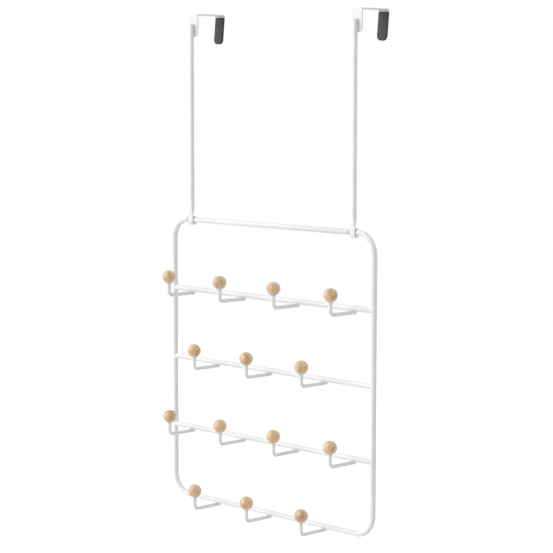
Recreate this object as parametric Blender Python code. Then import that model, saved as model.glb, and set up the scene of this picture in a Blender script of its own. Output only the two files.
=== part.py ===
"""Over-the-door hook rack: two brackets hook over a door, and their rods carry a barred panel.

The panel is a bent loop of round bar with three rails. Hook wires are welded under the rails and under
the loop's bottom bar, and each ends in a wooden ball. Every rod ends in a curled knuckle, in
which the panel's top bar turns. Lengths are in metres. +X is to the right, -Y to the front and
+Z up. The origin lies in the panel's middle plane, on the front top edge of the door.
"""
import math

import bmesh
import bpy
from mathutils import Vector

# Clearances
GAP = 0.0003                  # between two pieces that are welded, pressed or resting together
RUNNING_GAP = 0.0003          # round the bar, inside a knuckle
OVERRUN = 0.002               # how far a cutter runs past what it cuts

# Panel
PANEL_WIDTH = 0.354           # between the centres of the side bars
RAIL_PITCH = 0.0905           # from one horizontal bar down to the next
STOCK_DIAMETER = 0.007
CORNER_RADIUS = 0.026         # at the centre of the bar
DOOR_STANDOFF = 0.0002        # between the door's face and the back of the bars
SEAT_DIAMETER = 0.0046        # of the swaged seats in the top bar
SEAT_LENGTH = 0.0130          # of each seat, with its two sloping shoulders
SEAT_SHOULDER = 0.0006        # length of one shoulder

# Hooks and balls
HOOKS_IN_ROWS = (4, 3, 4, 3)  # from the top rail down to the bottom bar
HOOK_MARGIN = 0.033           # from a side bar's centre in to the outermost hook
WIRE_DIAMETER = 0.005
WIRE_SINK = 0.0010            # how deep the weld sets the wire into the bar
HOOK_REACH = 0.0395           # from the bar's centre out to the stem's centre
WIRE_BEND = 0.0058            # bend radius at the wire's centre
BALL_HEIGHT = 0.0236          # from the arm's centre up to the ball's centre
BALL_DIAMETER = 0.0175
BORE_DEPTH = 0.0100           # of the blind hole that the stem is pressed into
BORE_CHAMFER = 0.0005

# Hangers
HANGER_INSET = 0.0335         # from a side bar's centre in to the middle of the nearer seat
HANGER_SHIFT = 0.0013         # sideways play in the seats, taken up to the right
HANGER_DROP = 0.2612          # from the door's top edge down to the centre of the top bar
ROD_DIAMETER = 0.0058
ROD_CHAMFER = 0.0006          # at the rod's upper end
ROD_WELD_LENGTH = 0.0157      # how far the rod reaches up the bracket's front plate
KNUCKLE_WIDTH = 0.0080
KNUCKLE_THICKNESS = 0.0022    # behind the bar and over it
FRONT_THICKNESS = 0.0017      # of the tongue, and of the curl in front of the bar
LOAD_THICKNESS = 0.0044       # of the curl under the bar, which carries the panel
KNUCKLE_SEAM = 0.0006         # open seam where the curl comes back to the tongue
TONGUE_WIDTH = 0.0084         # the flattened rod end at its widest
TONGUE_LENGTH = 0.016         # from the round rod down to the centre of the bar

# Brackets
STRAP_THICKNESS = 0.0016
STRAP_WIDTH = 0.0164
DOOR_GAP = 0.0444             # clear depth for the door's edge
STRAP_BEND = 0.0012           # inner radius of the two bends
FRONT_DROP = 0.0268           # front plate, below the door's top edge
PLATE_CORNER = 0.0056         # rounded lower corners of the front plate
BACK_DROP = 0.0344            # back leg, below the door's top edge
BACK_LEAN = math.radians(5.2)
LEG_CORNER = 0.0048           # rounded lower corners of the back leg
LEG_SHOULDER = 0.0014         # from the door's top edge down to where the leg narrows
LEG_STEP = 0.0005             # length over which it narrows

# Sleeves on the back legs
SLEEVE_INSET = 0.0006         # of the sleeve's sides, from the edges of the strap
SLEEVE_WALL = 0.0008
SLEEVE_FLOOR = 0.0012
SLEEVE_CORNER = 0.0012        # rounding of the sleeve's upright edges

# Facets
STOCK_SIDES = 20
WIRE_SIDES = 12
STRIP_SIDES = 20
BALL_SIDES = 18
BALL_ARCS = 9
CORNER_STEPS = 8
BEND_STEPS = 5
CURL_STEPS = 16
END_STEPS = 5
FLARE_STEPS = 6
ROUND = 2.0                   # squareness of a round or oval section
FLAT = 5.0                    # squareness of the flattened strip's section

# Places that follow from the sizes above
STOCK_RADIUS = STOCK_DIAMETER / 2
WIRE_RADIUS = WIRE_DIAMETER / 2
ROD_RADIUS = ROD_DIAMETER / 2
BALL_RADIUS = BALL_DIAMETER / 2
BAR_Y = -STOCK_RADIUS - DOOR_STANDOFF
BAR_Z = -HANGER_DROP
ROD_Y = -STRAP_THICKNESS - ROD_RADIUS
HANGER_SPACING = PANEL_WIDTH - 2 * HANGER_INSET
HOOK_PITCH = (PANEL_WIDTH - 2 * HOOK_MARGIN) / (max(HOOKS_IN_ROWS) - 1)
PANEL_HEIGHT = RAIL_PITCH * len(HOOKS_IN_ROWS)
ARM_DROP = STOCK_RADIUS + WIRE_RADIUS - WIRE_SINK
LEG_WIDTH = STRAP_WIDTH - 2 * (SLEEVE_INSET + SLEEVE_WALL + GAP)

RIGHT = Vector((1, 0, 0))
BACK = Vector((0, 1, 0))
UP = Vector((0, 0, 1))


def clear_scene():
    """Remove whatever the open file holds."""
    for thing in list(bpy.data.objects):
        bpy.data.objects.remove(thing, do_unlink=True)


def make_material(name, colour, roughness, metallic=0.0):
    """Return one Principled material."""
    material = bpy.data.materials.new(name)
    material.use_nodes = True
    shader = material.node_tree.nodes["Principled BSDF"]
    shader.inputs["Base Color"].default_value = (*colour, 1.0)
    shader.inputs["Roughness"].default_value = roughness
    shader.inputs["Metallic"].default_value = metallic
    material.diffuse_color = (*colour, 1.0)
    return material


def add_object(name, mesh, material, place, parent=None):
    """Put a mesh into the scene as one named piece."""
    piece = bpy.data.objects.new(name, mesh)
    bpy.context.scene.collection.objects.link(piece)
    if not mesh.materials:
        mesh.materials.append(material)
    piece.location = place
    piece.parent = parent
    return piece


def add_guide(name, mesh, place, parent=None):
    """Put a mesh into the scene that only cuts its neighbours."""
    guide = bpy.data.objects.new(name, mesh)
    bpy.context.scene.collection.objects.link(guide)
    guide.hide_render = True
    guide.display_type = "WIRE"
    guide.location = place
    guide.parent = parent
    return guide


def cut(piece, guide):
    """Cut one piece with a guide."""
    boolean = piece.modifiers.new("Cut by " + guide.name, "BOOLEAN")
    boolean.operation = "DIFFERENCE"
    boolean.solver = "EXACT"
    boolean.object = guide


def skin(name, rings, closed=False):
    """Join rings of points into one body: a closed loop, or a run with a cap at each end."""
    bm = bmesh.new()
    loops = [[bm.verts.new(point) for point in ring] for ring in rings]
    pairs = list(zip(loops, loops[1:]))
    if closed:
        pairs.append((loops[-1], loops[0]))
    else:
        bm.faces.new(loops[0])
        bm.faces.new(loops[-1])
    for first, second in pairs:
        for i in range(len(first)):
            j = (i + 1) % len(first)
            bm.faces.new((first[i], first[j], second[j], second[i]))
    bmesh.ops.recalc_face_normals(bm, faces=bm.faces)
    mesh = bpy.data.meshes.new(name)
    bm.to_mesh(mesh)
    bm.free()
    mesh.shade_smooth()
    mesh.set_sharp_from_angle(angle=math.radians(35))
    return mesh


def oval(centre, across, up, half_width, half_height, squareness=ROUND, sides=STOCK_SIDES):
    """Return one ring of points: an oval, or a rounded oblong where squareness is high."""
    ring = []
    power = ROUND / squareness
    for i in range(sides):
        angle = 2 * math.pi * (i + 0.5) / sides
        c = math.cos(angle)
        s = math.sin(angle)
        x = math.copysign(abs(c) ** power, c) * half_width
        y = math.copysign(abs(s) ** power, s) * half_height
        ring.append(centre + across * x + up * y)
    return ring


def arc(centre, radius, start, turn, steps):
    """Return the points of an arc in a plane, each as (first, second, angle)."""
    points = []
    for i in range(steps + 1):
        angle = start + turn * i / steps
        first = centre[0] + radius * math.cos(angle)
        second = centre[1] + radius * math.sin(angle)
        points.append((first, second, angle))
    return points


def rounded_end(half_width, corner):
    """Return (distance from the end, half width there) for an end with two rounded corners."""
    steps = []
    for i in range(END_STEPS + 1):
        angle = 0.5 * math.pi * i / END_STEPS
        rise = corner * (1 - math.cos(angle))
        steps.append((rise, half_width - corner + corner * math.sin(angle)))
    return steps


# Panel

def frame_mesh():
    """Sweep the round bar round the loop, thinner where the two knuckles sit on the top bar."""
    x = PANEL_WIDTH / 2 - CORNER_RADIUS
    top = -CORNER_RADIUS
    bottom = CORNER_RADIUS - PANEL_HEIGHT
    stations = []
    for corner, start in (
        ((x, top), 0.5 * math.pi),
        ((x, bottom), 0.0),
        ((-x, bottom), -0.5 * math.pi),
        ((-x, top), -math.pi),
    ):
        for point in arc(corner, CORNER_RADIUS, start, -0.5 * math.pi, CORNER_STEPS):
            stations.append((point, STOCK_RADIUS))
    for middle in (-HANGER_SPACING / 2, HANGER_SPACING / 2):
        outer = SEAT_LENGTH / 2
        inner = outer - SEAT_SHOULDER
        stations.append(((middle - outer, 0.0, 0.5 * math.pi), STOCK_RADIUS))
        stations.append(((middle - inner, 0.0, 0.5 * math.pi), SEAT_DIAMETER / 2))
        stations.append(((middle + inner, 0.0, 0.5 * math.pi), SEAT_DIAMETER / 2))
        stations.append(((middle + outer, 0.0, 0.5 * math.pi), STOCK_RADIUS))
    rings = []
    for (x, z, angle), radius in stations:
        outward = RIGHT * math.cos(angle) + UP * math.sin(angle)
        rings.append(oval(RIGHT * x + UP * z, outward, BACK, radius, radius))
    return skin("panel_frame", rings, closed=True)


def bar_mesh(name, axis, radius, start, end):
    """Return a straight round bar along one axis."""
    up = UP if axis == RIGHT else RIGHT
    rings = [oval(axis * place, BACK, up, radius, radius) for place in (start, end)]
    return skin(name, rings)


def hook_mesh():
    """Bend one wire: an arm that runs forward under the bar, and a stem that stands up."""
    path = [(STOCK_RADIUS, -ARM_DROP, -0.5 * math.pi)]
    bend = (WIRE_BEND - HOOK_REACH, WIRE_BEND - ARM_DROP)
    path += arc(bend, WIRE_BEND, -0.5 * math.pi, -0.5 * math.pi, BEND_STEPS)
    stem_top = BALL_HEIGHT - ARM_DROP - BALL_RADIUS + BORE_DEPTH - GAP
    path.append((-HOOK_REACH, stem_top, -math.pi))
    rings = []
    for y, z, angle in path:
        outward = BACK * math.cos(angle) + UP * math.sin(angle)
        centre = BACK * y + UP * z
        rings.append(oval(centre, RIGHT, outward, WIRE_RADIUS, WIRE_RADIUS, sides=WIRE_SIDES))
    return skin("hook_wire", rings)


def ball_mesh():
    """Turn one ball about its upright axis, with a blind hole from below."""
    bore = WIRE_RADIUS + GAP
    mouth_angle = math.asin((bore + BORE_CHAMFER) / BALL_RADIUS)
    mouth_z = -BALL_RADIUS * math.cos(mouth_angle)
    profile = []
    for i in range(1, BALL_ARCS + 1):
        # the first step is half as long, so that the crown stays round
        angle = (math.pi - mouth_angle) * (i - 0.5) / (BALL_ARCS - 0.5)
        profile.append((BALL_RADIUS * math.sin(angle), BALL_RADIUS * math.cos(angle)))
    profile.append((bore, mouth_z + BORE_CHAMFER))
    profile.append((bore, BORE_DEPTH - BALL_RADIUS))
    rings = []
    for radius, z in profile:
        rings.append(oval(UP * z, RIGHT, BACK, radius, radius, sides=BALL_SIDES))
    return skin("wooden_ball", rings)


# Hangers

def curl_thickness(angle):
    """Return how thick the curl is at an angle round the bar, from pi in front of it onwards."""
    quarters = (FRONT_THICKNESS, LOAD_THICKNESS, KNUCKLE_THICKNESS, KNUCKLE_THICKNESS, KNUCKLE_THICKNESS)
    turned = (angle - math.pi) / (0.5 * math.pi)
    quarter = int(turned)
    ease = 0.5 - 0.5 * math.cos(math.pi * (turned - quarter))
    return quarters[quarter] + (quarters[quarter + 1] - quarters[quarter]) * ease


def rod_mesh():
    """Make one rod: round above, pressed flat below and curled into a knuckle round the bar."""
    half = FRONT_THICKNESS / 2
    inner = SEAT_DIAMETER / 2 + RUNNING_GAP
    axis = ROD_Y - BAR_Y
    top = HANGER_DROP - FRONT_DROP + ROD_WELD_LENGTH
    stations = [
        (axis, top, math.pi, ROD_RADIUS - ROD_CHAMFER, ROD_RADIUS - ROD_CHAMFER, ROUND),
        (axis, top - ROD_CHAMFER, math.pi, ROD_RADIUS, ROD_RADIUS, ROUND),
    ]
    # the round end flares into a tongue that comes forward to pass in front of the bar
    low = inner + half
    for i in range(FLARE_STEPS + 1):
        share = i / FLARE_STEPS
        ease = share * share * (3 - 2 * share)
        y = axis - (inner + half + axis) * ease
        z = TONGUE_LENGTH + (low - TONGUE_LENGTH) * share
        width = ROD_RADIUS + (TONGUE_WIDTH / 2 - ROD_RADIUS) * ease
        thickness = ROD_RADIUS + (half - ROD_RADIUS) * ease
        stations.append((y, z, math.pi, width, thickness, ROUND + (FLAT - ROUND) * ease))
    # the strip then curls under the bar, up behind it and over it, back to the tongue
    reach = inner + KNUCKLE_THICKNESS
    turn = 1.5 * math.pi + math.asin((inner - KNUCKLE_SEAM) / reach)
    for i in range(CURL_STEPS + 1):
        angle = math.pi + turn * i / CURL_STEPS
        thickness = curl_thickness(angle) / 2
        narrowing = min(1.0, 4 * i / CURL_STEPS)
        width = (TONGUE_WIDTH + (KNUCKLE_WIDTH - TONGUE_WIDTH) * narrowing) / 2
        y = (inner + thickness) * math.cos(angle)
        z = (inner + thickness) * math.sin(angle)
        stations.append((y, z, angle, width, thickness, FLAT))
    rings = []
    for y, z, angle, half_width, half_height, squareness in stations:
        outward = BACK * math.cos(angle) + UP * math.sin(angle)
        centre = BACK * y + UP * z
        rings.append(oval(centre, RIGHT, outward, half_width, half_height, squareness, STRIP_SIDES))
    return skin("hanger_rod", rings)


def plate_guide_mesh():
    """Return the block that presses a flat on the rod, where it is welded to the plate."""
    back = STRAP_THICKNESS / 2 + GAP
    low = -FRONT_DROP - GAP
    high = -FRONT_DROP + ROD_WELD_LENGTH + OVERRUN
    rings = []
    for z in (low, high):
        ring = []
        for x, y in ((1, -1), (1, 1), (-1, 1), (-1, -1)):
            ring.append(RIGHT * (x * STRAP_WIDTH / 2) + BACK * (y * back) + UP * z)
        rings.append(ring)
    return skin("plate_guide", rings)


# Brackets and sleeves

def strap_path():
    """Return the strap's centre line from the front plate to the back leg, as (y, z, angle)."""
    half = STRAP_THICKNESS / 2
    radius = STRAP_BEND + half
    path = [(-half, -FRONT_DROP, math.pi)]
    path += arc((STRAP_BEND, -STRAP_BEND), radius, math.pi, -0.5 * math.pi, BEND_STEPS)
    back_bend = (DOOR_GAP - STRAP_BEND, -STRAP_BEND)
    path += arc(back_bend, radius, 0.5 * math.pi, -0.5 * math.pi - BACK_LEAN, BEND_STEPS)
    return path


def leg_point(drop):
    """Return the point of the back leg's centre line at a height below the door's top edge."""
    y, z, angle = strap_path()[-1]
    run = (drop + z) / math.cos(angle)
    return y + math.sin(angle) * run, -drop, angle


def bracket_mesh():
    """Fold one strap: front plate, top strip over the door, and the narrower back leg."""
    width = STRAP_WIDTH / 2
    path = strap_path()
    stations = []
    for rise, half_width in rounded_end(width, PLATE_CORNER):
        stations.append((path[0][0], path[0][1] + rise, path[0][2], half_width))
    for y, z, angle in path[1:]:
        stations.append((y, z, angle, width))
    stations.append((*leg_point(LEG_SHOULDER), width))
    stations.append((*leg_point(LEG_SHOULDER + LEG_STEP), LEG_WIDTH / 2))
    for rise, half_width in reversed(rounded_end(LEG_WIDTH / 2, LEG_CORNER)):
        stations.append((*leg_point(BACK_DROP - rise), half_width))
    half = STRAP_THICKNESS / 2
    rings = []
    for y, z, angle, half_width in stations:
        centre = BACK * y + UP * z
        outward = BACK * math.cos(angle) + UP * math.sin(angle)
        ring = []
        for side, face in ((1, 1), (-1, 1), (-1, -1), (1, -1)):
            ring.append(centre + RIGHT * (side * half_width) + outward * (face * half))
        rings.append(ring)
    return skin("door_bracket", rings)


def sleeve_mesh():
    """Mould one sleeve: a flat pocket, open at the top, that covers the end of a back leg."""
    inner = STRAP_THICKNESS / 2 + GAP
    outer = inner + SLEEVE_WALL
    inner_width = LEG_WIDTH / 2 + GAP
    outer_width = inner_width + SLEEVE_WALL
    inner_corner = SLEEVE_CORNER - SLEEVE_WALL
    top = LEG_SHOULDER + LEG_STEP + GAP
    inner_end = BACK_DROP + GAP
    outer_end = inner_end + SLEEVE_FLOOR
    stations = []
    for rise, half_width in rounded_end(inner_width, LEG_CORNER + GAP):
        stations.append((inner_end - rise, half_width, inner, inner_corner))
    stations.append((top, inner_width, inner, inner_corner))
    stations.append((top, outer_width, outer, SLEEVE_CORNER))
    for rise, half_width in reversed(rounded_end(outer_width, LEG_CORNER + GAP + SLEEVE_WALL)):
        stations.append((outer_end - rise, half_width, outer, SLEEVE_CORNER))
    rings = []
    for drop, half_width, half, corner in stations:
        y, z, angle = leg_point(drop)
        centre = BACK * y + UP * z
        outward = BACK * math.cos(angle) + UP * math.sin(angle)
        ring = []
        for side, face, start in ((1, 1, 0.0), (-1, 1, 0.5), (-1, -1, 1.0), (1, -1, 1.5)):
            corner_centre = (side * (half_width - corner), face * (half - corner))
            for across, thick, _ in arc(corner_centre, corner, math.pi * start, math.pi / 2, 2):
                ring.append(centre + RIGHT * across + outward * thick)
        rings.append(ring)
    return skin("leg_sleeve", rings)


def build():
    """Build the rack as one object for each piece."""
    clear_scene()
    white_paint = make_material("white_powder_coat", (0.86, 0.86, 0.85), 0.45)
    pale_wood = make_material("pale_beech", (0.64, 0.42, 0.22), 0.6)
    grey_rubber = make_material("grey_rubber", (0.09, 0.09, 0.095), 0.8)

    bracket = bracket_mesh()
    sleeve = sleeve_mesh()
    rod = rod_mesh()
    plate_block = plate_guide_mesh()
    for side, name in ((-1, "left"), (1, "right")):
        x = HANGER_SHIFT + side * HANGER_SPACING / 2
        add_object("door_bracket_" + name, bracket, white_paint, (x, 0, 0))
        add_object("leg_sleeve_" + name, sleeve, grey_rubber, (x, 0, 0))
        hanger = add_object("hanger_rod_" + name, rod, white_paint, (x, BAR_Y, BAR_Z))
        place = (x, -STRAP_THICKNESS / 2, 0)
        cut(hanger, add_guide("plate_guide_" + name, plate_block, place))

    # The panel turns about this empty, which lies on the centre line of its top bar
    hinge = bpy.data.objects.new("panel_hinge", None)
    bpy.context.scene.collection.objects.link(hinge)
    hinge.location = (0, BAR_Y, BAR_Z)

    add_object("panel_frame", frame_mesh(), white_paint, (0, 0, 0), hinge)
    half = PANEL_WIDTH / 2
    hole = STOCK_RADIUS + GAP
    side_bar = bar_mesh("side_bar_guide", UP, hole, -PANEL_HEIGHT - OVERRUN, OVERRUN)
    side_guides = []
    for side, name in ((-1, "left"), (1, "right")):
        place = (side * half, 0, 0)
        side_guides.append(add_guide("side_bar_guide_" + name, side_bar, place, hinge))

    rail = bar_mesh("rail", RIGHT, STOCK_RADIUS, -half, half)
    rail_guide = bar_mesh("rail_guide", RIGHT, hole, -half, half)
    hook = hook_mesh()
    ball = ball_mesh()
    number = 0
    for row, count in enumerate(HOOKS_IN_ROWS, start=1):
        z = -RAIL_PITCH * row
        if row < len(HOOKS_IN_ROWS):
            piece = add_object("rail_%d" % row, rail, white_paint, (0, 0, z), hinge)
            for guide in side_guides:
                cut(piece, guide)
        saddle = add_guide("rail_guide_%d" % row, rail_guide, (0, 0, z), hinge)
        for i in range(count):
            number += 1
            x = (i - (count - 1) / 2) * HOOK_PITCH
            wire = add_object("hook_wire_%02d" % number, hook, white_paint, (x, 0, z), hinge)
            cut(wire, saddle)
            place = (x, -HOOK_REACH, z - ARM_DROP + BALL_HEIGHT)
            add_object("hook_ball_%02d" % number, ball, pale_wood, place, hinge)


build()
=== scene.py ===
"""Looks of the over-the-door hook rack: white steel, with turned wooden balls on its hooks."""

import math

import bmesh
import bpy
from mathutils import Matrix, Vector


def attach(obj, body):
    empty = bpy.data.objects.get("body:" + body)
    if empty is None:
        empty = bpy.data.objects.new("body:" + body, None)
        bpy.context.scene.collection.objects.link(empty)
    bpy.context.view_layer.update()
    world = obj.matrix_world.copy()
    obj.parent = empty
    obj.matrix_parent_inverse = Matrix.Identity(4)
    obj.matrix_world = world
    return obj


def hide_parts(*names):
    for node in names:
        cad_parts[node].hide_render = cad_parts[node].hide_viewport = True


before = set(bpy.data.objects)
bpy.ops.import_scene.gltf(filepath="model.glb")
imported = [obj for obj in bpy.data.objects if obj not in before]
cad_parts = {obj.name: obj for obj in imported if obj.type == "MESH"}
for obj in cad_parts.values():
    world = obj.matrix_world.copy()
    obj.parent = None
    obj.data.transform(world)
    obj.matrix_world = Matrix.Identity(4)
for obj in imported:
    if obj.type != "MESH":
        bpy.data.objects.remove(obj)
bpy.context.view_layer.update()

# ------------------------------------------------------------------ Door brackets
# Each bracket is one strap of 1.6 mm cold-rolled steel, cut with rounded ends and folded twice, to
# hook over a door's top edge. It is deburred, then powder coated together with its rod.

HANGER_X = (-0.1422, 0.1448)
SIDES = ("left", "right")
STRAP_THICKNESS = 0.0016
STRAP_WIDTH = 0.0164
DOOR_GAP = 0.0444
FOLD_RADIUS = 0.0020          # at the middle of the strap's thickness
FRONT_DROP = 0.0268
PLATE_CORNER = 0.0056
BACK_DROP = 0.0344
BACK_LEAN = math.radians(5.2)
LEG_WIDTH = 0.0130
LEG_CORNER = 0.0048
LEG_STEP = (0.0014, 0.0019)   # where the strap narrows to the leg, below the door's top edge
DEBURR = 0.00028
EDGE_ANGLE = math.radians(40) # a sharper corner than this is an edge
EDGE_SEGMENTS = 3
PEEL_WIDTH = 0.0016           # of the orange peel, as drawn
CLOUD_WIDTH = 0.022

RIGHT = Vector((1, 0, 0))
BACK = Vector((0, 1, 0))
UP = Vector((0, 0, 1))


def linear(hex_code):
    """Turn an sRGB hex colour into the linear colour that a socket takes."""
    channels = [int(hex_code[i:i + 2], 16) / 255 for i in (1, 3, 5)]
    lit = [c / 12.92 if c <= 0.04045 else ((c + 0.055) / 1.055) ** 2.4 for c in channels]
    return (*lit, 1.0)


def add_node(tree, kind, inputs=None, **settings):
    """Add a node, with its settings, and with a value or a link for each input named."""
    node = tree.nodes.new(kind)
    for name, value in settings.items():
        setattr(node, name, value)
    for key, value in (inputs or {}).items():
        if isinstance(key, int):
            socket = node.inputs[key]
        else:
            socket = next(s for s in node.inputs if s.name == key and s.enabled)
        if isinstance(value, bpy.types.NodeSocket):
            tree.links.new(value, socket)
        else:
            socket.default_value = value
    return node


def start_finish(name):
    """Start a material and return it with its tree and its shader."""
    material = bpy.data.materials.new(name)
    material.use_nodes = True
    return material, material.node_tree, material.node_tree.nodes["Principled BSDF"]


def oval(centre, across, out, half_width, half_height, squareness=2.0, sides=48):
    """Return a ring of points: an oval, or a rounded oblong where squareness is above 2."""
    ring = []
    for i in range(sides):
        angle = 2 * math.pi * (i + 0.5) / sides
        c, s = math.cos(angle), math.sin(angle)
        x = math.copysign(abs(c) ** (2 / squareness), c) * half_width
        y = math.copysign(abs(s) ** (2 / squareness), s) * half_height
        ring.append(centre + across * x + out * y)
    return ring


def arc(centre, radius, start, turn, steps):
    """Return points (first, second, angle) along an arc, from one end to the other."""
    points = []
    for i in range(steps + 1):
        angle = start + turn * i / steps
        points.append((centre[0] + radius * math.cos(angle),
                       centre[1] + radius * math.sin(angle), angle))
    return points


def smooth(mesh):
    """Point every face outwards and shade the mesh smooth, but for its sharp edges."""
    bm = bmesh.new()
    bm.from_mesh(mesh)
    bmesh.ops.recalc_face_normals(bm, faces=bm.faces)
    bm.to_mesh(mesh)
    bm.free()
    mesh.shade_smooth()
    mesh.set_sharp_from_angle(angle=EDGE_ANGLE)
    return mesh


def skin(name, rings, closed=False):
    """Join rings of points into one closed body, with a cap at each end unless it is a loop."""
    count = len(rings[0])
    faces = []
    for i in range(len(rings) if closed else len(rings) - 1):
        a, b = i * count, (i + 1) % len(rings) * count
        for j in range(count):
            k = (j + 1) % count
            faces.append((a + j, a + k, b + k, b + j))
    if not closed:
        last = (len(rings) - 1) * count
        faces += [tuple(range(count)), tuple(range(last, last + count))]
    mesh = bpy.data.meshes.new(name)
    mesh.from_pydata([point for ring in rings for point in ring], [], faces)
    return smooth(mesh)


def put(name, mesh, material, body, nodes=()):
    """Put a finished piece on its body, in the place of the plain nodes that it stands for."""
    piece = bpy.data.objects.new(name, mesh)
    bpy.context.scene.collection.objects.link(piece)
    mesh.materials.clear()
    mesh.materials.append(material)
    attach(piece, body)
    if nodes:
        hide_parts(*nodes)
    return piece


def round_edges(piece, width):
    """Take the sharpness off a piece's edges."""
    bevel = piece.modifiers.new("Rounded edges", "BEVEL")
    bevel.width = width
    bevel.segments = EDGE_SEGMENTS
    bevel.limit_method = "ANGLE"
    bevel.angle_limit = EDGE_ANGLE
    bevel.harden_normals = True


def rounded_end(half_width, corner, steps=12):
    """Return (rise from the end, half width there) for an end with two rounded corners."""
    outline = []
    for i in range(steps + 1):
        angle = 0.5 * math.pi * i / steps
        outline.append((corner * (1 - math.cos(angle)),
                        half_width - corner + corner * math.sin(angle)))
    return outline


def strap_path(steps=14):
    """Return the strap's middle line from the front plate to the back leg, as (y, z, angle)."""
    inner = FOLD_RADIUS - STRAP_THICKNESS / 2
    square = math.pi / 2
    path = [(-STRAP_THICKNESS / 2, -FRONT_DROP, math.pi)]
    path += arc((inner, -inner), FOLD_RADIUS, math.pi, -square, steps)
    path += arc((DOOR_GAP - inner, -inner), FOLD_RADIUS, square, -square - BACK_LEAN, steps)
    return path


def leg_point(drop):
    """Return the back leg's middle line at a drop below the door's top edge, as (y, z, angle)."""
    y, z, angle = strap_path()[-1]
    return y + math.sin(angle) * (drop + z) / math.cos(angle), -drop, angle


def bracket_mesh(x):
    """Fold one strap, with its front plate's and its back leg's lower corners rounded."""
    path = strap_path()
    stations = []
    for rise, half_width in rounded_end(STRAP_WIDTH / 2, PLATE_CORNER):
        stations.append((-STRAP_THICKNESS / 2, rise - FRONT_DROP, math.pi, half_width))
    stations += [(y, z, angle, STRAP_WIDTH / 2) for y, z, angle in path[1:]]
    stations.append((*leg_point(LEG_STEP[0]), STRAP_WIDTH / 2))
    stations.append((*leg_point(LEG_STEP[1]), LEG_WIDTH / 2))
    for rise, half_width in reversed(rounded_end(LEG_WIDTH / 2, LEG_CORNER)):
        stations.append((*leg_point(BACK_DROP - rise), half_width))
    rings = []
    for y, z, angle, half_width in stations:
        centre = Vector((x, y, z))
        out = (BACK * math.cos(angle) + UP * math.sin(angle)) * STRAP_THICKNESS / 2
        side = RIGHT * half_width
        rings.append([centre + side + out, centre - side + out,
                      centre - side - out, centre + side - out])
    return skin("door_bracket", rings)


# White polyester powder coat, sprayed and baked: it hides the steel under an even satin white that
# rolls softly over every edge. Its orange peel is about 1 mm from crest to crest, too fine for the
# photograph's pixels, and is drawn at 1.6 mm. The film's thickness clouds the white very slightly.
powder_coat, tree, shader = start_finish("white_polyester_powder_coat")
place = add_node(tree, "ShaderNodeTexCoord").outputs["Object"]
cloud = add_node(tree, "ShaderNodeTexNoise", {"Vector": place, "Scale": 1 / CLOUD_WIDTH,
                                              "Detail": 3.0})
white = add_node(tree, "ShaderNodeMix", {"Factor": cloud.outputs["Fac"], "A": linear("#EBEBEC"),
                                         "B": linear("#F3F3F4")}, data_type="RGBA")
tree.links.new(white.outputs[2], shader.inputs["Base Color"])
peel = add_node(tree, "ShaderNodeTexNoise", {"Vector": place, "Scale": 1 / PEEL_WIDTH,
                                             "Detail": 2.0})
gloss = add_node(tree, "ShaderNodeMapRange", {"Value": peel.outputs["Fac"], "From Min": 0.3,
                                              "From Max": 0.7, "To Min": 0.34, "To Max": 0.46})
tree.links.new(gloss.outputs["Result"], shader.inputs["Roughness"])
ripple = add_node(tree, "ShaderNodeBump", {"Height": peel.outputs["Fac"], "Strength": 0.35,
                                           "Distance": 0.00006})
tree.links.new(ripple.outputs["Normal"], shader.inputs["Normal"])
shader.inputs["IOR"].default_value = 1.5

for side, x in zip(SIDES, HANGER_X):
    bracket = put("bracket_" + side, bracket_mesh(x), powder_coat, "hangers",
                  ["door_bracket_" + side])
    round_edges(bracket, DEBURR)

# ------------------------------------------------------------------ Sleeves on the back legs
# Each sleeve is a flat pocket of dark grey rubber, moulded with round edges and closed at its
# lower end. It is pushed on over the back leg, and keeps the steel from marking the door.

SLEEVE_WALL = 0.0008
SLEEVE_FLOOR = 0.0012
SLEEVE_EDGE = 0.0012          # rounding of the upright edges
EDGE_STEPS = 6
SLEEVE_TOP = 0.0022           # below the door's top edge
SLEEVE_RINGS = (0.020, 0.014, 0.008) # the mesh's rings below its mouth, measured as above
SLEEVE_FIT = 0.0003
SLEEVE_SOFTNESS = 0.00035     # rounding of the mouth's rim
FLOW_WIDTH = 0.003
FLOW_STRETCH = 0.15           # of the pattern's scale, along the sleeve
SPARK_WIDTH = 0.0005          # of the spark texture, as drawn


def sleeve_mesh(x):
    """Mould one sleeve: its outside from the floor up, over the lip and down into the pocket."""
    inner_half = STRAP_THICKNESS / 2 + SLEEVE_FIT
    inner_width = LEG_WIDTH / 2 + SLEEVE_FIT
    end = BACK_DROP + SLEEVE_FIT
    stations = []
    outer = rounded_end(inner_width + SLEEVE_WALL, LEG_CORNER + SLEEVE_FIT + SLEEVE_WALL)
    for rise, half_width in outer:
        stations.append((end + SLEEVE_FLOOR - rise, half_width, inner_half + SLEEVE_WALL,
                         SLEEVE_EDGE))
    for drop in (*SLEEVE_RINGS, SLEEVE_TOP):
        stations.append((drop, inner_width + SLEEVE_WALL, inner_half + SLEEVE_WALL, SLEEVE_EDGE))
    stations.append((SLEEVE_TOP, inner_width, inner_half, SLEEVE_EDGE - SLEEVE_WALL))
    for rise, half_width in reversed(rounded_end(inner_width, LEG_CORNER + SLEEVE_FIT)):
        stations.append((end - rise, half_width, inner_half, SLEEVE_EDGE - SLEEVE_WALL))
    rings = []
    for drop, half_width, half, corner in stations:
        y, z, angle = leg_point(drop)
        out = BACK * math.cos(angle) + UP * math.sin(angle)
        ring = []
        for across, face, start in ((1, 1, 0.0), (-1, 1, 0.5), (-1, -1, 1.0), (1, -1, 1.5)):
            middle = (across * (half_width - corner), face * (half - corner))
            for first, second, _ in arc(middle, corner, math.pi * start, math.pi / 2, EDGE_STEPS):
                ring.append(Vector((x + first, y, z)) + out * second)
        rings.append(ring)
    return skin("leg_sleeve", rings)


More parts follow.
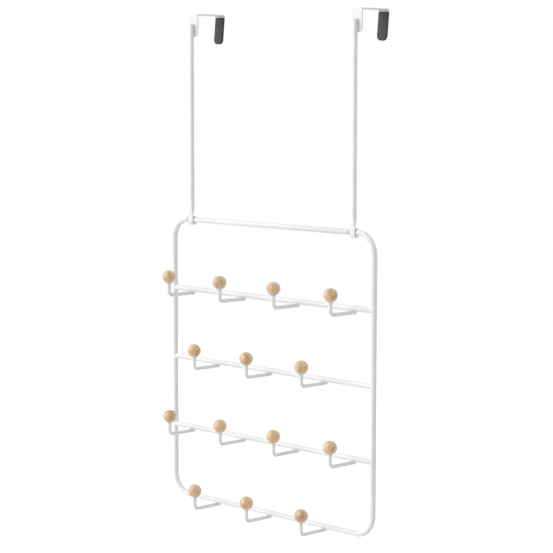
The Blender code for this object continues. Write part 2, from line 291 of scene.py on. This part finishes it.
# Dark grey rubber, moulded in a fine-sparked steel mould: matt, with a dull bloom where the light
# grazes it. The spark texture is about 0.15 mm and is drawn at 0.5 mm, and the flow of the rubber
# leaves faint streaks along the sleeve, about 3 mm apart.
rubber, tree, shader = start_finish("moulded_grey_rubber")
place = add_node(tree, "ShaderNodeTexCoord").outputs["Object"]
streaks = add_node(tree, "ShaderNodeMapping", {"Vector": place, "Scale": (1.0, 1.0, FLOW_STRETCH)})
flow = add_node(tree, "ShaderNodeTexNoise", {"Vector": streaks.outputs[0],
                                             "Scale": 1 / FLOW_WIDTH, "Detail": 2.0})
grey = add_node(tree, "ShaderNodeMix", {"Factor": flow.outputs["Fac"], "A": linear("#313234"),
                                        "B": linear("#3F4042")}, data_type="RGBA")
tree.links.new(grey.outputs[2], shader.inputs["Base Color"])
spark = add_node(tree, "ShaderNodeTexNoise", {"Vector": place, "Scale": 1 / SPARK_WIDTH,
                                              "Detail": 1.0})
dull = add_node(tree, "ShaderNodeMapRange", {"Value": spark.outputs["Fac"], "From Min": 0.3,
                                             "From Max": 0.7, "To Min": 0.60, "To Max": 0.74})
tree.links.new(dull.outputs["Result"], shader.inputs["Roughness"])
grit = add_node(tree, "ShaderNodeBump", {"Height": spark.outputs["Fac"], "Strength": 0.4,
                                         "Distance": 0.00005})
tree.links.new(grit.outputs["Normal"], shader.inputs["Normal"])
shader.inputs["IOR"].default_value = 1.52

for side, x in zip(SIDES, HANGER_X):
    sleeve = put("sleeve_" + side, sleeve_mesh(x), rubber, "hangers",
                 ["leg_sleeve_" + side])
    round_edges(sleeve, SLEEVE_SOFTNESS)

# ------------------------------------------------------------------ Hanger rods
# Each rod is 5.8 mm steel wire, welded on the face of its bracket's plate. Its lower end is
# hammered into a tongue and curled into a knuckle, thickest under the panel's bar, which hangs and
# turns in it.

BAR_Y = -0.0037
BAR_Z = -0.2612
ROD_RADIUS = 0.0029
ROD_TOP = -0.0111
ROD_CHAMFER = 0.0006
ROD_Y = -STRAP_THICKNESS - ROD_RADIUS
TONGUE_LENGTH = 0.016
TONGUE_WIDTH = 0.0084
KNUCKLE_WIDTH = 0.0080
FRONT_THICKNESS = 0.0017
LOAD_THICKNESS = 0.0044
KNUCKLE_THICKNESS = 0.0022
KNUCKLE_BORE = 0.0026
KNUCKLE_SEAM = 0.0006
FLAT_SQUARENESS = 5.0         # of the flattened steel, where 2 is an oval
ROD_SIDES = 40
TAPER_STEPS = 24
CURL_STEPS = 64
NARROWING_STEPS = 16          # of the curl's, over which the tongue narrows to the knuckle
ROD_WELD_START = 0.0012       # above the plate's lower end
ROD_WELD_LENGTH = 0.0130
ROD_WELD_APART = 0.0012       # each bead from the rod's middle
ROD_WELD_DEPTH = 0.00020
ROD_WELD_RADIUS = 0.00026
ROD_WELD_SWELL = 0.00012
ROD_WELD_RIPPLE = 0.00004
ROD_WELD_WAVES = 17
BEAD_STEPS = 24


def curl_thickness(angle):
    """Return how thick the curl is at an angle round the bar, from pi in front of it onwards."""
    quarters = (FRONT_THICKNESS, LOAD_THICKNESS) + (KNUCKLE_THICKNESS,) * 3
    quarter = int((angle - math.pi) / (math.pi / 2))
    ease = 0.5 - 0.5 * math.cos(2 * (angle - math.pi) - math.pi * quarter)
    return quarters[quarter] + (quarters[quarter + 1] - quarters[quarter]) * ease


def rod_mesh(x):
    """Make one rod: round above, flattened below and curled under and round the bar."""
    half = FRONT_THICKNESS / 2
    axis = ROD_Y - BAR_Y
    stations = []
    for rise, radius in rounded_end(ROD_RADIUS, ROD_CHAMFER, 5):
        stations.append((axis, ROD_TOP - BAR_Z - rise, math.pi, radius, radius, 2.0))
    for i in range(TAPER_STEPS + 1):
        ease = (i / TAPER_STEPS) ** 2 * (3 - 2 * i / TAPER_STEPS)
        drop = (KNUCKLE_BORE + half - TONGUE_LENGTH) * i / TAPER_STEPS
        stations.append((axis - (KNUCKLE_BORE + half + axis) * ease, TONGUE_LENGTH + drop, math.pi,
                         ROD_RADIUS + (TONGUE_WIDTH / 2 - ROD_RADIUS) * ease,
                         ROD_RADIUS + (half - ROD_RADIUS) * ease,
                         2.0 + (FLAT_SQUARENESS - 2.0) * ease))
    reach = KNUCKLE_BORE + KNUCKLE_THICKNESS
    turn = 1.5 * math.pi + math.asin((KNUCKLE_BORE - KNUCKLE_SEAM) / reach)
    for i in range(CURL_STEPS + 1):
        angle = math.pi + turn * i / CURL_STEPS
        thick = curl_thickness(angle) / 2
        width = TONGUE_WIDTH + (KNUCKLE_WIDTH - TONGUE_WIDTH) * min(1.0, i / NARROWING_STEPS)
        radius = KNUCKLE_BORE + thick
        stations.append((radius * math.cos(angle), radius * math.sin(angle), angle, width / 2,
                         thick, FLAT_SQUARENESS))
    rings = []
    for y, z, angle, half_width, half_height, squareness in stations:
        centre = Vector((x, BAR_Y + y, BAR_Z + z))
        out = BACK * math.cos(angle) + UP * math.sin(angle)
        rings.append(oval(centre, RIGHT, out, half_width, half_height, squareness, ROD_SIDES))
    return skin("hanger_rod", rings)


def beaded(name, path, radii, closed=False, sides=10):
    """Lay one bead of weld along a path of points, as thick as radii says at each point."""
    rings = []
    last = len(path) - 1
    for i, point in enumerate(path):
        before = path[i - 1] if i or closed else path[0]
        after = path[(i + 1) % len(path)] if i < last or closed else path[last]
        along = (after - before).normalized()
        across = along.cross(UP if abs(along.z) < 0.9 else BACK).normalized()
        rings.append(oval(point, across, along.cross(across), radii[i], radii[i], 2.0, sides))
    return skin(name, rings, closed)


def join(name, meshes):
    """Make one mesh of several."""
    bm = bmesh.new()
    for mesh in meshes:
        bm.from_mesh(mesh)
        bpy.data.meshes.remove(mesh)
    mesh = bpy.data.meshes.new(name)
    bm.to_mesh(mesh)
    bm.free()
    return smooth(mesh)


def rod_weld_mesh(x):
    """Fill the two corners between a rod and its plate."""
    beads = []
    for across in (-1, 1):
        path, radii = [], []
        for i in range(BEAD_STEPS + 1):
            share = i / BEAD_STEPS
            path.append(Vector((x + across * ROD_WELD_APART, ROD_Y + ROD_RADIUS - ROD_WELD_DEPTH,
                                ROD_WELD_START - FRONT_DROP + ROD_WELD_LENGTH * share)))
            radii.append(ROD_WELD_RADIUS + ROD_WELD_SWELL * math.sin(math.pi * share)
                         + ROD_WELD_RIPPLE * math.sin(ROD_WELD_WAVES * share))
        beads.append(beaded("bead", path, radii))
    return join("rod_weld", beads)


for side, x in zip(SIDES, HANGER_X):
    put("rod_" + side, rod_mesh(x), powder_coat, "hangers", ["hanger_rod_" + side])
    put("rod_weld_" + side, rod_weld_mesh(x), powder_coat, "hangers")

# ------------------------------------------------------------------ Panel frame
# The frame is one 7 mm round bar, bent round four corners and butt welded into a loop. Where the
# two knuckles grip its top it is swaged down, so that it can turn in them but not slide along.

BAR_RADIUS = 0.00345
PANEL_WIDTH = 0.354
CORNER_RADIUS = 0.026
CORNER_STEPS = 24
RAIL_PITCH = 0.0905
RAIL_COUNT = 3
PANEL_HEIGHT = RAIL_PITCH * (RAIL_COUNT + 1)
SEAT_X = (-0.1435, 0.1435)
SEAT_RADIUS = 0.0023
SEAT_HALF = 0.0065
SEAT_SLOPE = 0.0007
SLOPE_STEPS = 6
BAR_SIDES = 48


def new_tree(name, sizes):
    """Start a Geometry Nodes tree with a named input for each of its sizes."""
    tree = bpy.data.node_groups.new(name, "GeometryNodeTree")
    tree.interface.new_socket("Geometry", in_out="INPUT", socket_type="NodeSocketGeometry")
    tree.interface.new_socket("Geometry", in_out="OUTPUT", socket_type="NodeSocketGeometry")
    for label, kind in sizes:
        tree.interface.new_socket(label, in_out="INPUT", socket_type="NodeSocket" + kind)
    return tree, tree.nodes.new("NodeGroupInput").outputs


def end_tree(tree, geometry, material):
    """Make the tree's result real, give it its material and send it out."""
    real = add_node(tree, "GeometryNodeRealizeInstances", {"Geometry": geometry})
    clad = add_node(tree, "GeometryNodeSetMaterial", {"Geometry": real.outputs[0],
                                                      "Material": material})
    add_node(tree, "NodeGroupOutput", {0: clad.outputs[0]})


def grown(name, start, tree, sizes):
    """Run a tree on a starting mesh and return its result as a plain mesh."""
    stand = bpy.data.objects.new(name + "_stand", start)
    bpy.context.scene.collection.objects.link(stand)
    modifier = stand.modifiers.new(tree.name, "NODES")
    modifier.node_group = tree
    for item in tree.interface.items_tree:
        if item.in_out == "INPUT" and item.name in sizes:
            modifier[item.identifier] = sizes[item.name]
    graph = bpy.context.evaluated_depsgraph_get()
    mesh = bpy.data.meshes.new_from_object(stand.evaluated_get(graph))
    mesh.name = name
    bpy.data.objects.remove(stand)
    bpy.data.meshes.remove(start)
    return smooth(mesh)


def path_mesh(name, points, closed=False):
    """Make a line of edges through (place, radius) points, which a bar then follows."""
    mesh = bpy.data.meshes.new(name)
    edges = [(i, i + 1) for i in range(len(points) - 1)]
    if closed:
        edges.append((len(points) - 1, 0))
    mesh.from_pydata([place for place, _ in points], edges, [])
    thickness = mesh.attributes.new("bar_radius", "FLOAT", "POINT")
    thickness.data.foreach_set("value", [radius for _, radius in points])
    return mesh


# A round bar that follows a line, as thick at each point as the line says
bar_tree, given = new_tree("bar_along_line", (("Sides", "Int"), ("Finish", "Material")))
line = add_node(bar_tree, "GeometryNodeMeshToCurve", {"Mesh": given["Geometry"]})
profile = add_node(bar_tree, "GeometryNodeCurvePrimitiveCircle", {"Resolution": given["Sides"],
                                                                  "Radius": 1.0})
thick = add_node(bar_tree, "GeometryNodeInputNamedAttribute", {"Name": "bar_radius"})
bar = add_node(bar_tree, "GeometryNodeCurveToMesh", {
    "Curve": line.outputs[0], "Profile Curve": profile.outputs["Curve"],
    "Scale": thick.outputs["Attribute"], "Fill Caps": True})
end_tree(bar_tree, bar.outputs[0], given["Finish"])


def frame_points():
    """Return the frame's line, with its swaged seats on the top bar."""
    x = PANEL_WIDTH / 2 - CORNER_RADIUS
    top, bottom = BAR_Z - CORNER_RADIUS, BAR_Z - PANEL_HEIGHT + CORNER_RADIUS
    corners = (((x, top), 0.5), ((x, bottom), 0.0), ((-x, bottom), -0.5), ((-x, top), -1.0))
    points = []
    for corner, start in corners:
        for px, pz, _ in arc(corner, CORNER_RADIUS, math.pi * start, -math.pi / 2, CORNER_STEPS):
            points.append((Vector((px, BAR_Y, pz)), BAR_RADIUS))
    shoulder = []
    for i in range(SLOPE_STEPS + 1):
        shoulder.append((SEAT_HALF - SEAT_SLOPE * i / SLOPE_STEPS,
                         0.5 + 0.5 * math.cos(math.pi * i / SLOPE_STEPS)))
    for middle in SEAT_X:
        for away, ease in [(-out, ease) for out, ease in shoulder] + shoulder[::-1]:
            radius = SEAT_RADIUS + (BAR_RADIUS - SEAT_RADIUS) * ease
            points.append((Vector((middle + away, BAR_Y, BAR_Z)), radius))
    return points


frame_mesh = grown("panel_loop", path_mesh("panel_line", frame_points(), True), bar_tree,
                   {"Sides": BAR_SIDES, "Finish": powder_coat})
put("panel_loop", frame_mesh, powder_coat, "panel", ["panel_frame"])

# ------------------------------------------------------------------ Rails
# Three straight lengths of the same 7 mm bar. Their ends are coped to the side bars and welded
# there, with one run of weld above and one below each end.

RAIL_WELD_START = 28          # degrees round the rail, from its back
RAIL_WELD_TURN = 124
RAIL_WELD_RADIUS = 0.00025
RAIL_WELD_SWELL = 0.00055

# One piece on each rail, made from the first rail's
rail_tree, given = new_tree("down_the_rails", (
    ("Rail Count", "Int"), ("Rail Pitch", "Float"), ("Finish", "Material")))
spots = add_node(rail_tree, "GeometryNodePoints", {"Count": given["Rail Count"]})
number = add_node(rail_tree, "GeometryNodeInputIndex").outputs[0]
step = add_node(rail_tree, "ShaderNodeMath", {0: number, 1: given["Rail Pitch"]},
                operation="MULTIPLY")
drop = add_node(rail_tree, "ShaderNodeMath", {0: step.outputs[0], 1: -1.0}, operation="MULTIPLY")
spot = add_node(rail_tree, "ShaderNodeCombineXYZ", {"Z": drop.outputs[0]})
placed = add_node(rail_tree, "GeometryNodeSetPosition", {"Geometry": spots.outputs[0],
                                                         "Position": spot.outputs[0]})
copies = add_node(rail_tree, "GeometryNodeInstanceOnPoints", {"Points": placed.outputs[0],
                                                              "Instance": given["Geometry"]})
end_tree(rail_tree, copies.outputs[0], given["Finish"])
rail_sizes = {"Rail Count": RAIL_COUNT, "Rail Pitch": RAIL_PITCH, "Finish": powder_coat}


def rail_weld_mesh():
    """Lay the four runs of weld at the ends of the first rail."""
    beads = []
    for end in (-1, 1):
        for face in (-1, 1):
            path, radii = [], []
            for i in range(BEAD_STEPS + 1):
                share = i / BEAD_STEPS
                angle = math.radians(RAIL_WELD_START + RAIL_WELD_TURN * share)
                y, z = BAR_RADIUS * math.cos(angle), BAR_RADIUS * math.sin(angle)
                path.append(Vector((end * (PANEL_WIDTH / 2 - z), BAR_Y + y,
                                    BAR_Z - RAIL_PITCH + face * z)))
                radii.append(RAIL_WELD_RADIUS
                             + RAIL_WELD_SWELL * math.sin(math.pi * share) ** 0.5)
            beads.append(beaded("bead", path, radii))
    return join("rail_weld", beads)


rail_points = [(Vector((PANEL_WIDTH * share, BAR_Y, BAR_Z - RAIL_PITCH)), BAR_RADIUS)
               for share in (-0.5, -0.25, 0.0, 0.25, 0.5)]
first_rail = grown("first_rail", path_mesh("rail_line", rail_points), bar_tree,
                   {"Sides": BAR_SIDES, "Finish": powder_coat})
put("rails", grown("rails", first_rail, rail_tree, rail_sizes), powder_coat, "panel",
    ["rail_1", "rail_2", "rail_3"])
put("rail_welds", grown("rail_welds", rail_weld_mesh(), rail_tree, rail_sizes), powder_coat,
    "panel")

# ------------------------------------------------------------------ Hook wires
# Fourteen 5 mm wires, each bent once: an arm that runs forward under its bar, and a stem that
# stands up into its ball. Each is set 1 mm into the bar by the weld, which leaves a small collar
# of metal.

HOOK_COUNT = 14
FULL_ROW = 4
HOOK_PITCH = 0.096
WIRE_RADIUS = 0.00241
WIRE_SIDES = 32
WIRE_DROP = 0.0050            # from the bar's middle line down to the arm's
WIRE_END = 0.0034             # the arm's cut end, behind the bar's middle line
ARM_STEP = 0.0100             # a ring of the arm's mesh, in front of the bar's middle line
HOOK_REACH = 0.0395
WIRE_BEND = 0.0058
BEND_STEPS = 18
STEM_TOP = 0.0196             # above the bar's middle line, inside the ball
COLLAR_REACH = 0.00206        # from the wire's middle out along the bar
COLLAR_RADIUS = 0.00050
COLLAR_RIPPLE = 0.00006
COLLAR_WAVES = 5
COLLAR_STEPS = 40

# One piece at each hook, made from the first hook's. The rows hold four and three in turn, and
# every row is centred. Each copy carries piece_place, the place of its points on the piece itself,
# and piece_seed, three random numbers of its own.
hook_tree, given = new_tree("hook_rows", (
    ("Hook Count", "Int"), ("Full Row", "Int"), ("Hook Pitch", "Float"), ("Rail Pitch", "Float"),
    ("Seed", "Int"), ("Finish", "Material")))
spots = add_node(hook_tree, "GeometryNodePoints", {"Count": given["Hook Count"]})
number = add_node(hook_tree, "GeometryNodeInputIndex").outputs[0]
twice = add_node(hook_tree, "ShaderNodeMath", {0: given["Full Row"], 1: 2.0},
                 operation="MULTIPLY")
pair_size = add_node(hook_tree, "ShaderNodeMath", {0: twice.outputs[0], 1: 1.0},
                     operation="SUBTRACT")
shared = add_node(hook_tree, "ShaderNodeMath", {0: number, 1: pair_size.outputs[0]},
                  operation="DIVIDE")
pair = add_node(hook_tree, "ShaderNodeMath", {0: shared.outputs[0]}, operation="FLOOR")
within = add_node(hook_tree, "ShaderNodeMath", {0: number, 1: pair_size.outputs[0]},
                  operation="MODULO")
last_full = add_node(hook_tree, "ShaderNodeMath", {0: given["Full Row"], 1: 0.5},
                     operation="SUBTRACT")
short_row = add_node(hook_tree, "ShaderNodeMath", {0: within.outputs[0], 1: last_full.outputs[0]},
                     operation="GREATER_THAN")
row = add_node(hook_tree, "ShaderNodeMath", {0: pair.outputs[0], 1: 2.0, 2: short_row.outputs[0]},
               operation="MULTIPLY_ADD")
half_row = add_node(hook_tree, "ShaderNodeMath", {0: given["Full Row"], 1: 0.5, 2: -0.5},
                    operation="MULTIPLY_ADD")
centred = add_node(hook_tree, "ShaderNodeMath", {0: within.outputs[0], 1: half_row.outputs[0]},
                   operation="SUBTRACT")
taken = add_node(hook_tree, "ShaderNodeMath", {0: short_row.outputs[0], 1: last_full.outputs[0]},
                 operation="MULTIPLY")
column = add_node(hook_tree, "ShaderNodeMath", {0: centred.outputs[0], 1: taken.outputs[0]},
                  operation="SUBTRACT")
across = add_node(hook_tree, "ShaderNodeMath", {0: column.outputs[0], 1: given["Hook Pitch"]},
                  operation="MULTIPLY")
fall = add_node(hook_tree, "ShaderNodeMath", {0: row.outputs[0], 1: given["Rail Pitch"]},
                operation="MULTIPLY")
drop = add_node(hook_tree, "ShaderNodeMath", {0: fall.outputs[0], 1: -1.0}, operation="MULTIPLY")
spot = add_node(hook_tree, "ShaderNodeCombineXYZ", {"X": across.outputs[0], "Z": drop.outputs[0]})
placed = add_node(hook_tree, "GeometryNodeSetPosition", {"Geometry": spots.outputs[0],
                                                         "Position": spot.outputs[0]})
dice = add_node(hook_tree, "FunctionNodeRandomValue", {
    "Min": (0.0, 0.0, 0.0), "Max": (1.0, 1.0, 1.0), "Seed": given["Seed"]},
    data_type="FLOAT_VECTOR")
marked = add_node(hook_tree, "GeometryNodeStoreNamedAttribute", {
    "Geometry": placed.outputs[0], "Name": "piece_seed", "Value": dice.outputs[0]},
    data_type="FLOAT_VECTOR", domain="POINT")
own_place = add_node(hook_tree, "GeometryNodeStoreNamedAttribute", {
    "Geometry": given["Geometry"], "Name": "piece_place",
    "Value": add_node(hook_tree, "GeometryNodeInputPosition").outputs[0]},
    data_type="FLOAT_VECTOR", domain="POINT")
copies = add_node(hook_tree, "GeometryNodeInstanceOnPoints", {"Points": marked.outputs[0],
                                                              "Instance": own_place.outputs[0]})
end_tree(hook_tree, copies.outputs[0], given["Finish"])
hook_sizes = {"Hook Count": HOOK_COUNT, "Full Row": FULL_ROW, "Hook Pitch": HOOK_PITCH,
              "Rail Pitch": RAIL_PITCH, "Seed": 7, "Finish": powder_coat}


def wire_points():
    """Return the first hook's line: from behind its bar forward, round the bend and up."""
    z = BAR_Z - RAIL_PITCH
    points = [(0.0, BAR_Y + WIRE_END, z - WIRE_DROP), (0.0, BAR_Y - ARM_STEP, z - WIRE_DROP)]
    bend = (BAR_Y - HOOK_REACH + WIRE_BEND, z - WIRE_DROP + WIRE_BEND)
    for y, pz, _ in arc(bend, WIRE_BEND, -math.pi / 2, -math.pi / 2, BEND_STEPS):
        points.append((0.0, y, pz))
    points.append((0.0, BAR_Y - HOOK_REACH, z + STEM_TOP))
    return [(Vector(point), WIRE_RADIUS) for point in points]


def collar_mesh():
    """Lay the collar of weld round the place where the first hook's wire meets its bar."""
    path, radii = [], []
    for i in range(COLLAR_STEPS):
        angle = 2 * math.pi * i / COLLAR_STEPS
        x = COLLAR_REACH * math.sin(angle)
        sunk = -WIRE_DROP + math.sqrt(WIRE_RADIUS ** 2 - x * x)
        y = math.copysign(math.sqrt(max(0.0, BAR_RADIUS ** 2 - sunk * sunk)), math.cos(angle))
        path.append(Vector((x, BAR_Y + y, BAR_Z - RAIL_PITCH + sunk)))
        radii.append(COLLAR_RADIUS + COLLAR_RIPPLE * math.sin(COLLAR_WAVES * angle))
    return beaded("collar", path, radii, True)


first_wire = grown("first_wire", path_mesh("wire_line", wire_points()), bar_tree,
                   {"Sides": WIRE_SIDES, "Finish": powder_coat})
put("hook_wires", grown("hook_wires", first_wire, hook_tree, hook_sizes), powder_coat, "panel",
    ["hook_wire_%02d" % number for number in range(1, HOOK_COUNT + 1)])
put("hook_welds", grown("hook_welds", collar_mesh(), hook_tree, hook_sizes), powder_coat, "panel")

# ------------------------------------------------------------------ Wooden balls
# Fourteen balls of steamed beech, turned, bored from below, sanded and wiped with clear lacquer.
# Each is pressed on its stem, and its grain runs its own way.

BALL_RADIUS = 0.00865
BALL_LIFT = 0.0236            # from the arm's middle line up to the ball's centre
BORE_RADIUS = 0.0028
BORE_CHAMFER = 0.0005
BORE_DEPTH = 0.0100
BALL_STEPS = 36
RING_WIDTH = 0.003
STREAK_WIDTH = 0.005
FLECK_WIDTH = 0.0007
FIBRE_STRETCH = 0.22          # of a pattern's scale, along the fibre
WAVE_METRE = 0.314            # the wave node's scale for rings a metre apart
GRAIN_TILT = (0.5, 0.5, 6.28) # radians, the most that a ball's grain is turned on each axis
LOG_SIZE = (0.05, 0.05, 0.3)  # the piece of the log that the balls are cut from


def ball_mesh():
    """Turn the first hook's ball about its upright axis, with its blind hole from below."""
    mouth = math.asin((BORE_RADIUS + BORE_CHAMFER) / BALL_RADIUS)
    profile = []
    for i in range(1, BALL_STEPS + 1):
        angle = (math.pi - mouth) * (i - 0.5) / (BALL_STEPS - 0.5)
        profile.append((BALL_RADIUS * math.sin(angle), BALL_RADIUS * math.cos(angle)))
    profile.append((BORE_RADIUS, BORE_CHAMFER - BALL_RADIUS * math.cos(mouth)))
    profile.append((BORE_RADIUS, BORE_DEPTH - BALL_RADIUS))
    return skin("ball", [oval(UP * z, RIGHT, BACK, radius, radius) for radius, z in profile])


# Steamed beech, sanded and wiped with thin clear lacquer: a warm tan, with growth rings 3 mm apart
# that are lines on the side grain and rings on the end grain, and broader darker streaks. The
# lacquer pales the wood where it is seen at a slant, and the raised fibre gives that edge a soft
# bloom. The rays are dark flecks 1 to 2 mm long. Each ball has its own place in the log, tone and
# warmth.
beech, tree, shader = start_finish("turned_beech")
own = add_node(tree, "ShaderNodeAttribute", attribute_name="piece_place").outputs["Vector"]
seed = add_node(tree, "ShaderNodeAttribute", attribute_name="piece_seed").outputs["Vector"]
tilt = add_node(tree, "ShaderNodeVectorMath", {0: seed, 1: GRAIN_TILT}, operation="MULTIPLY")
turned = add_node(tree, "ShaderNodeVectorRotate", {"Vector": own, "Rotation": tilt.outputs[0]},
                  rotation_type="EULER_XYZ")
away = add_node(tree, "ShaderNodeVectorMath", {0: seed, 1: LOG_SIZE}, operation="MULTIPLY")
log_place = add_node(tree, "ShaderNodeVectorMath", {0: turned.outputs[0], 1: away.outputs[0]},
                     operation="ADD")
rings = add_node(tree, "ShaderNodeTexWave", {
    "Vector": log_place.outputs[0], "Scale": WAVE_METRE / RING_WIDTH, "Distortion": 2.4,
    "Detail": 2.0, "Detail Scale": 0.6},
    wave_type="RINGS", rings_direction="Z", wave_profile="SAW")
fibre = add_node(tree, "ShaderNodeMapping", {"Vector": log_place.outputs[0],
                                             "Scale": (1.0, 1.0, FIBRE_STRETCH)})
streaks = add_node(tree, "ShaderNodeTexNoise", {"Vector": fibre.outputs[0],
                                                "Scale": 1 / STREAK_WIDTH, "Detail": 1.0})
streak = add_node(tree, "ShaderNodeMapRange", {"Value": streaks.outputs["Fac"], "From Min": 0.45,
                                               "From Max": 0.70}, interpolation_type="SMOOTHSTEP")
flecks = add_node(tree, "ShaderNodeTexNoise", {"Vector": fibre.outputs[0],
                                               "Scale": 1 / FLECK_WIDTH, "Detail": 2.0})
fleck = add_node(tree, "ShaderNodeMapRange", {"Value": flecks.outputs["Fac"], "From Min": 0.55,
                                              "From Max": 0.72}, interpolation_type="SMOOTHSTEP")
pale = add_node(tree, "ShaderNodeMix", {"Factor": rings.outputs["Fac"], "A": linear("#DFBB83"),
                                        "B": linear("#CBA068")}, data_type="RGBA")
heart = add_node(tree, "ShaderNodeMix", {"Factor": streak.outputs[0], "A": pale.outputs[2],
                                         "B": linear("#B5874A")}, data_type="RGBA")
dark = add_node(tree, "ShaderNodeMath", {0: fleck.outputs[0], 1: 0.6}, operation="MULTIPLY")
grain = add_node(tree, "ShaderNodeMix", {"Factor": dark.outputs[0], "A": heart.outputs[2],
                                         "B": linear("#966633")}, data_type="RGBA")
own_tone = add_node(tree, "ShaderNodeSeparateXYZ", {0: seed})
tone = add_node(tree, "ShaderNodeMapRange", {"Value": own_tone.outputs[0], "To Min": 1.00,
                                             "To Max": 1.07})
warmth = add_node(tree, "ShaderNodeMix", {
    "Factor": own_tone.outputs[1], "A": (1.00, 0.99, 0.98, 1.0), "B": (0.98, 1.01, 0.97, 1.0)},
    data_type="RGBA")
warmed = add_node(tree, "ShaderNodeVectorMath", {0: grain.outputs[2], 1: warmth.outputs[2]},
                  operation="MULTIPLY")
toned = add_node(tree, "ShaderNodeVectorMath", {0: warmed.outputs[0], "Scale": tone.outputs[0]},
                 operation="SCALE")
tree.links.new(toned.outputs[0], shader.inputs["Base Color"])
dulled = add_node(tree, "ShaderNodeMapRange", {"Value": flecks.outputs["Fac"], "To Min": 0.42,
                                               "To Max": 0.62})
tree.links.new(dulled.outputs[0], shader.inputs["Roughness"])
pores = add_node(tree, "ShaderNodeBump", {"Height": flecks.outputs["Fac"], "Strength": 0.25,
                                          "Distance": 0.00005})
tree.links.new(pores.outputs["Normal"], shader.inputs["Normal"])
shader.inputs["IOR"].default_value = 1.5
shader.inputs["Coat Weight"].default_value = 1.0
shader.inputs["Coat Roughness"].default_value = 0.28
shader.inputs["Coat IOR"].default_value = 1.8
shader.inputs["Sheen Weight"].default_value = 1.0
shader.inputs["Sheen Roughness"].default_value = 0.54
shader.inputs["Sheen Tint"].default_value = linear("#FFF6E8")

ball_sizes = {**hook_sizes, "Seed": 23, "Finish": beech}
balls = grown("balls", ball_mesh(), hook_tree, ball_sizes)
ball_centre = (0.0, BAR_Y - HOOK_REACH, BAR_Z - RAIL_PITCH - WIRE_DROP + BALL_LIFT)
balls.transform(Matrix.Translation(ball_centre))
put("hook_balls", balls, beech, "panel",
    ["hook_ball_%02d" % number for number in range(1, HOOK_COUNT + 1)])

# ------------------------------------------------------------------ Studio
# A pale paper floor lies as far below the rack as below a door's top edge, and the sky is white.
# One large soft lamp stands in front and to the left, and a weak one behind fills the right. The
# camera looks from where the photograph was taken.

FLOOR_Z = -2.0
FLOOR_HALF = 9.0
PAPER_GLOW = 0.42             # strength, where the paper is seen
SKY_LIGHT = 0.42              # strength on the object, where 1 is the white that is seen
LAMPS = (                     # name, direction of the lamp, spread in degrees, strength
    ("key_lamp", (-0.50, -0.72, 0.50), 75.0, 2.02),
    ("fill_lamp", (0.50, 0.60, 0.60), 60.0, 0.50),
)
AIM = Vector((0.01295, BAR_Y, -0.32365))
CAMERA_DISTANCE = 2.2667      # from the aim
TURN = math.radians(45.7261)  # to the left of looking straight at the door
TIP = math.radians(5.9562)    # downwards
ROLL = math.radians(-0.0485)
SENSOR_WIDTH = 36.0           # millimetres, as is the next
FOCAL_LENGTH = 119.436

floor_corners = ((-1, -1), (1, -1), (1, 1), (-1, 1))
floor_mesh = bpy.data.meshes.new("studio_floor")
floor_mesh.from_pydata([(x * FLOOR_HALF, y * FLOOR_HALF, FLOOR_Z) for x, y in floor_corners], [],
                       [(0, 1, 2, 3)])
floor = bpy.data.objects.new("studio_floor", floor_mesh)
bpy.context.scene.collection.objects.link(floor)


def seen(tree):
    """Return 1 for rays by which the picture, a gloss or a clear piece shows a surface."""
    rays = add_node(tree, "ShaderNodeLightPath").outputs
    direct = add_node(tree, "ShaderNodeMath", {0: rays["Is Camera Ray"], 1: rays["Is Glossy Ray"]},
                      operation="MAXIMUM")
    return add_node(tree, "ShaderNodeMath", {0: direct.outputs[0], 1: rays["Is Transmission Ray"]},
                    operation="MAXIMUM").outputs[0]


# Matt white paper, uncoated: it returns the lamps' light evenly, and the glow added where it is
# seen lifts it to white.
paper, tree, shader = start_finish("matt_white_paper")
shader.inputs["Base Color"].default_value = linear("#EEEEEE")
shader.inputs["Roughness"].default_value = 0.9
shader.inputs["Emission Color"].default_value = (1.0, 1.0, 1.0, 1.0)
glow = add_node(tree, "ShaderNodeMath", {0: seen(tree), 1: PAPER_GLOW}, operation="MULTIPLY")
tree.links.new(glow.outputs[0], shader.inputs["Emission Strength"])
floor_mesh.materials.append(paper)

sky = bpy.data.worlds.new("studio_sky")
bpy.context.scene.world = sky
sky.use_nodes = True
tree = sky.node_tree
level = add_node(tree, "ShaderNodeMapRange", {"Value": seen(tree), "To Min": SKY_LIGHT,
                                              "To Max": 1.0})
tree.links.new(level.outputs[0], tree.nodes["Background"].inputs["Strength"])
tree.nodes["Background"].inputs["Color"].default_value = (1.0, 1.0, 1.0, 1.0)

for name, toward, spread, strength in LAMPS:
    lamp = bpy.data.lights.new(name, "SUN")
    lamp.angle = math.radians(spread)
    lamp.energy = strength
    stand = bpy.data.objects.new(name, lamp)
    bpy.context.scene.collection.objects.link(stand)
    stand.rotation_euler = Vector(toward).normalized().to_track_quat("Z", "Y").to_euler()

ahead = Vector((-math.sin(TURN) * math.cos(TIP), math.cos(TURN) * math.cos(TIP), -math.sin(TIP)))
level_right = Vector((math.cos(TURN), math.sin(TURN), 0.0))
lens = bpy.data.cameras.new("photo_camera")
lens.sensor_width = SENSOR_WIDTH
lens.lens = FOCAL_LENGTH
lens.clip_start = 0.05
camera = bpy.data.objects.new("photo_camera", lens)
bpy.context.scene.collection.objects.link(camera)
level_up = level_right.cross(ahead)
across = level_right * math.cos(ROLL) - level_up * math.sin(ROLL)
stance = Matrix((across, across.cross(ahead), -ahead)).transposed().to_4x4()
stance.translation = AIM - ahead * CAMERA_DISTANCE
camera.matrix_world = stance
bpy.context.scene.camera = camera
bpy.context.scene.view_settings.view_transform = "Standard"
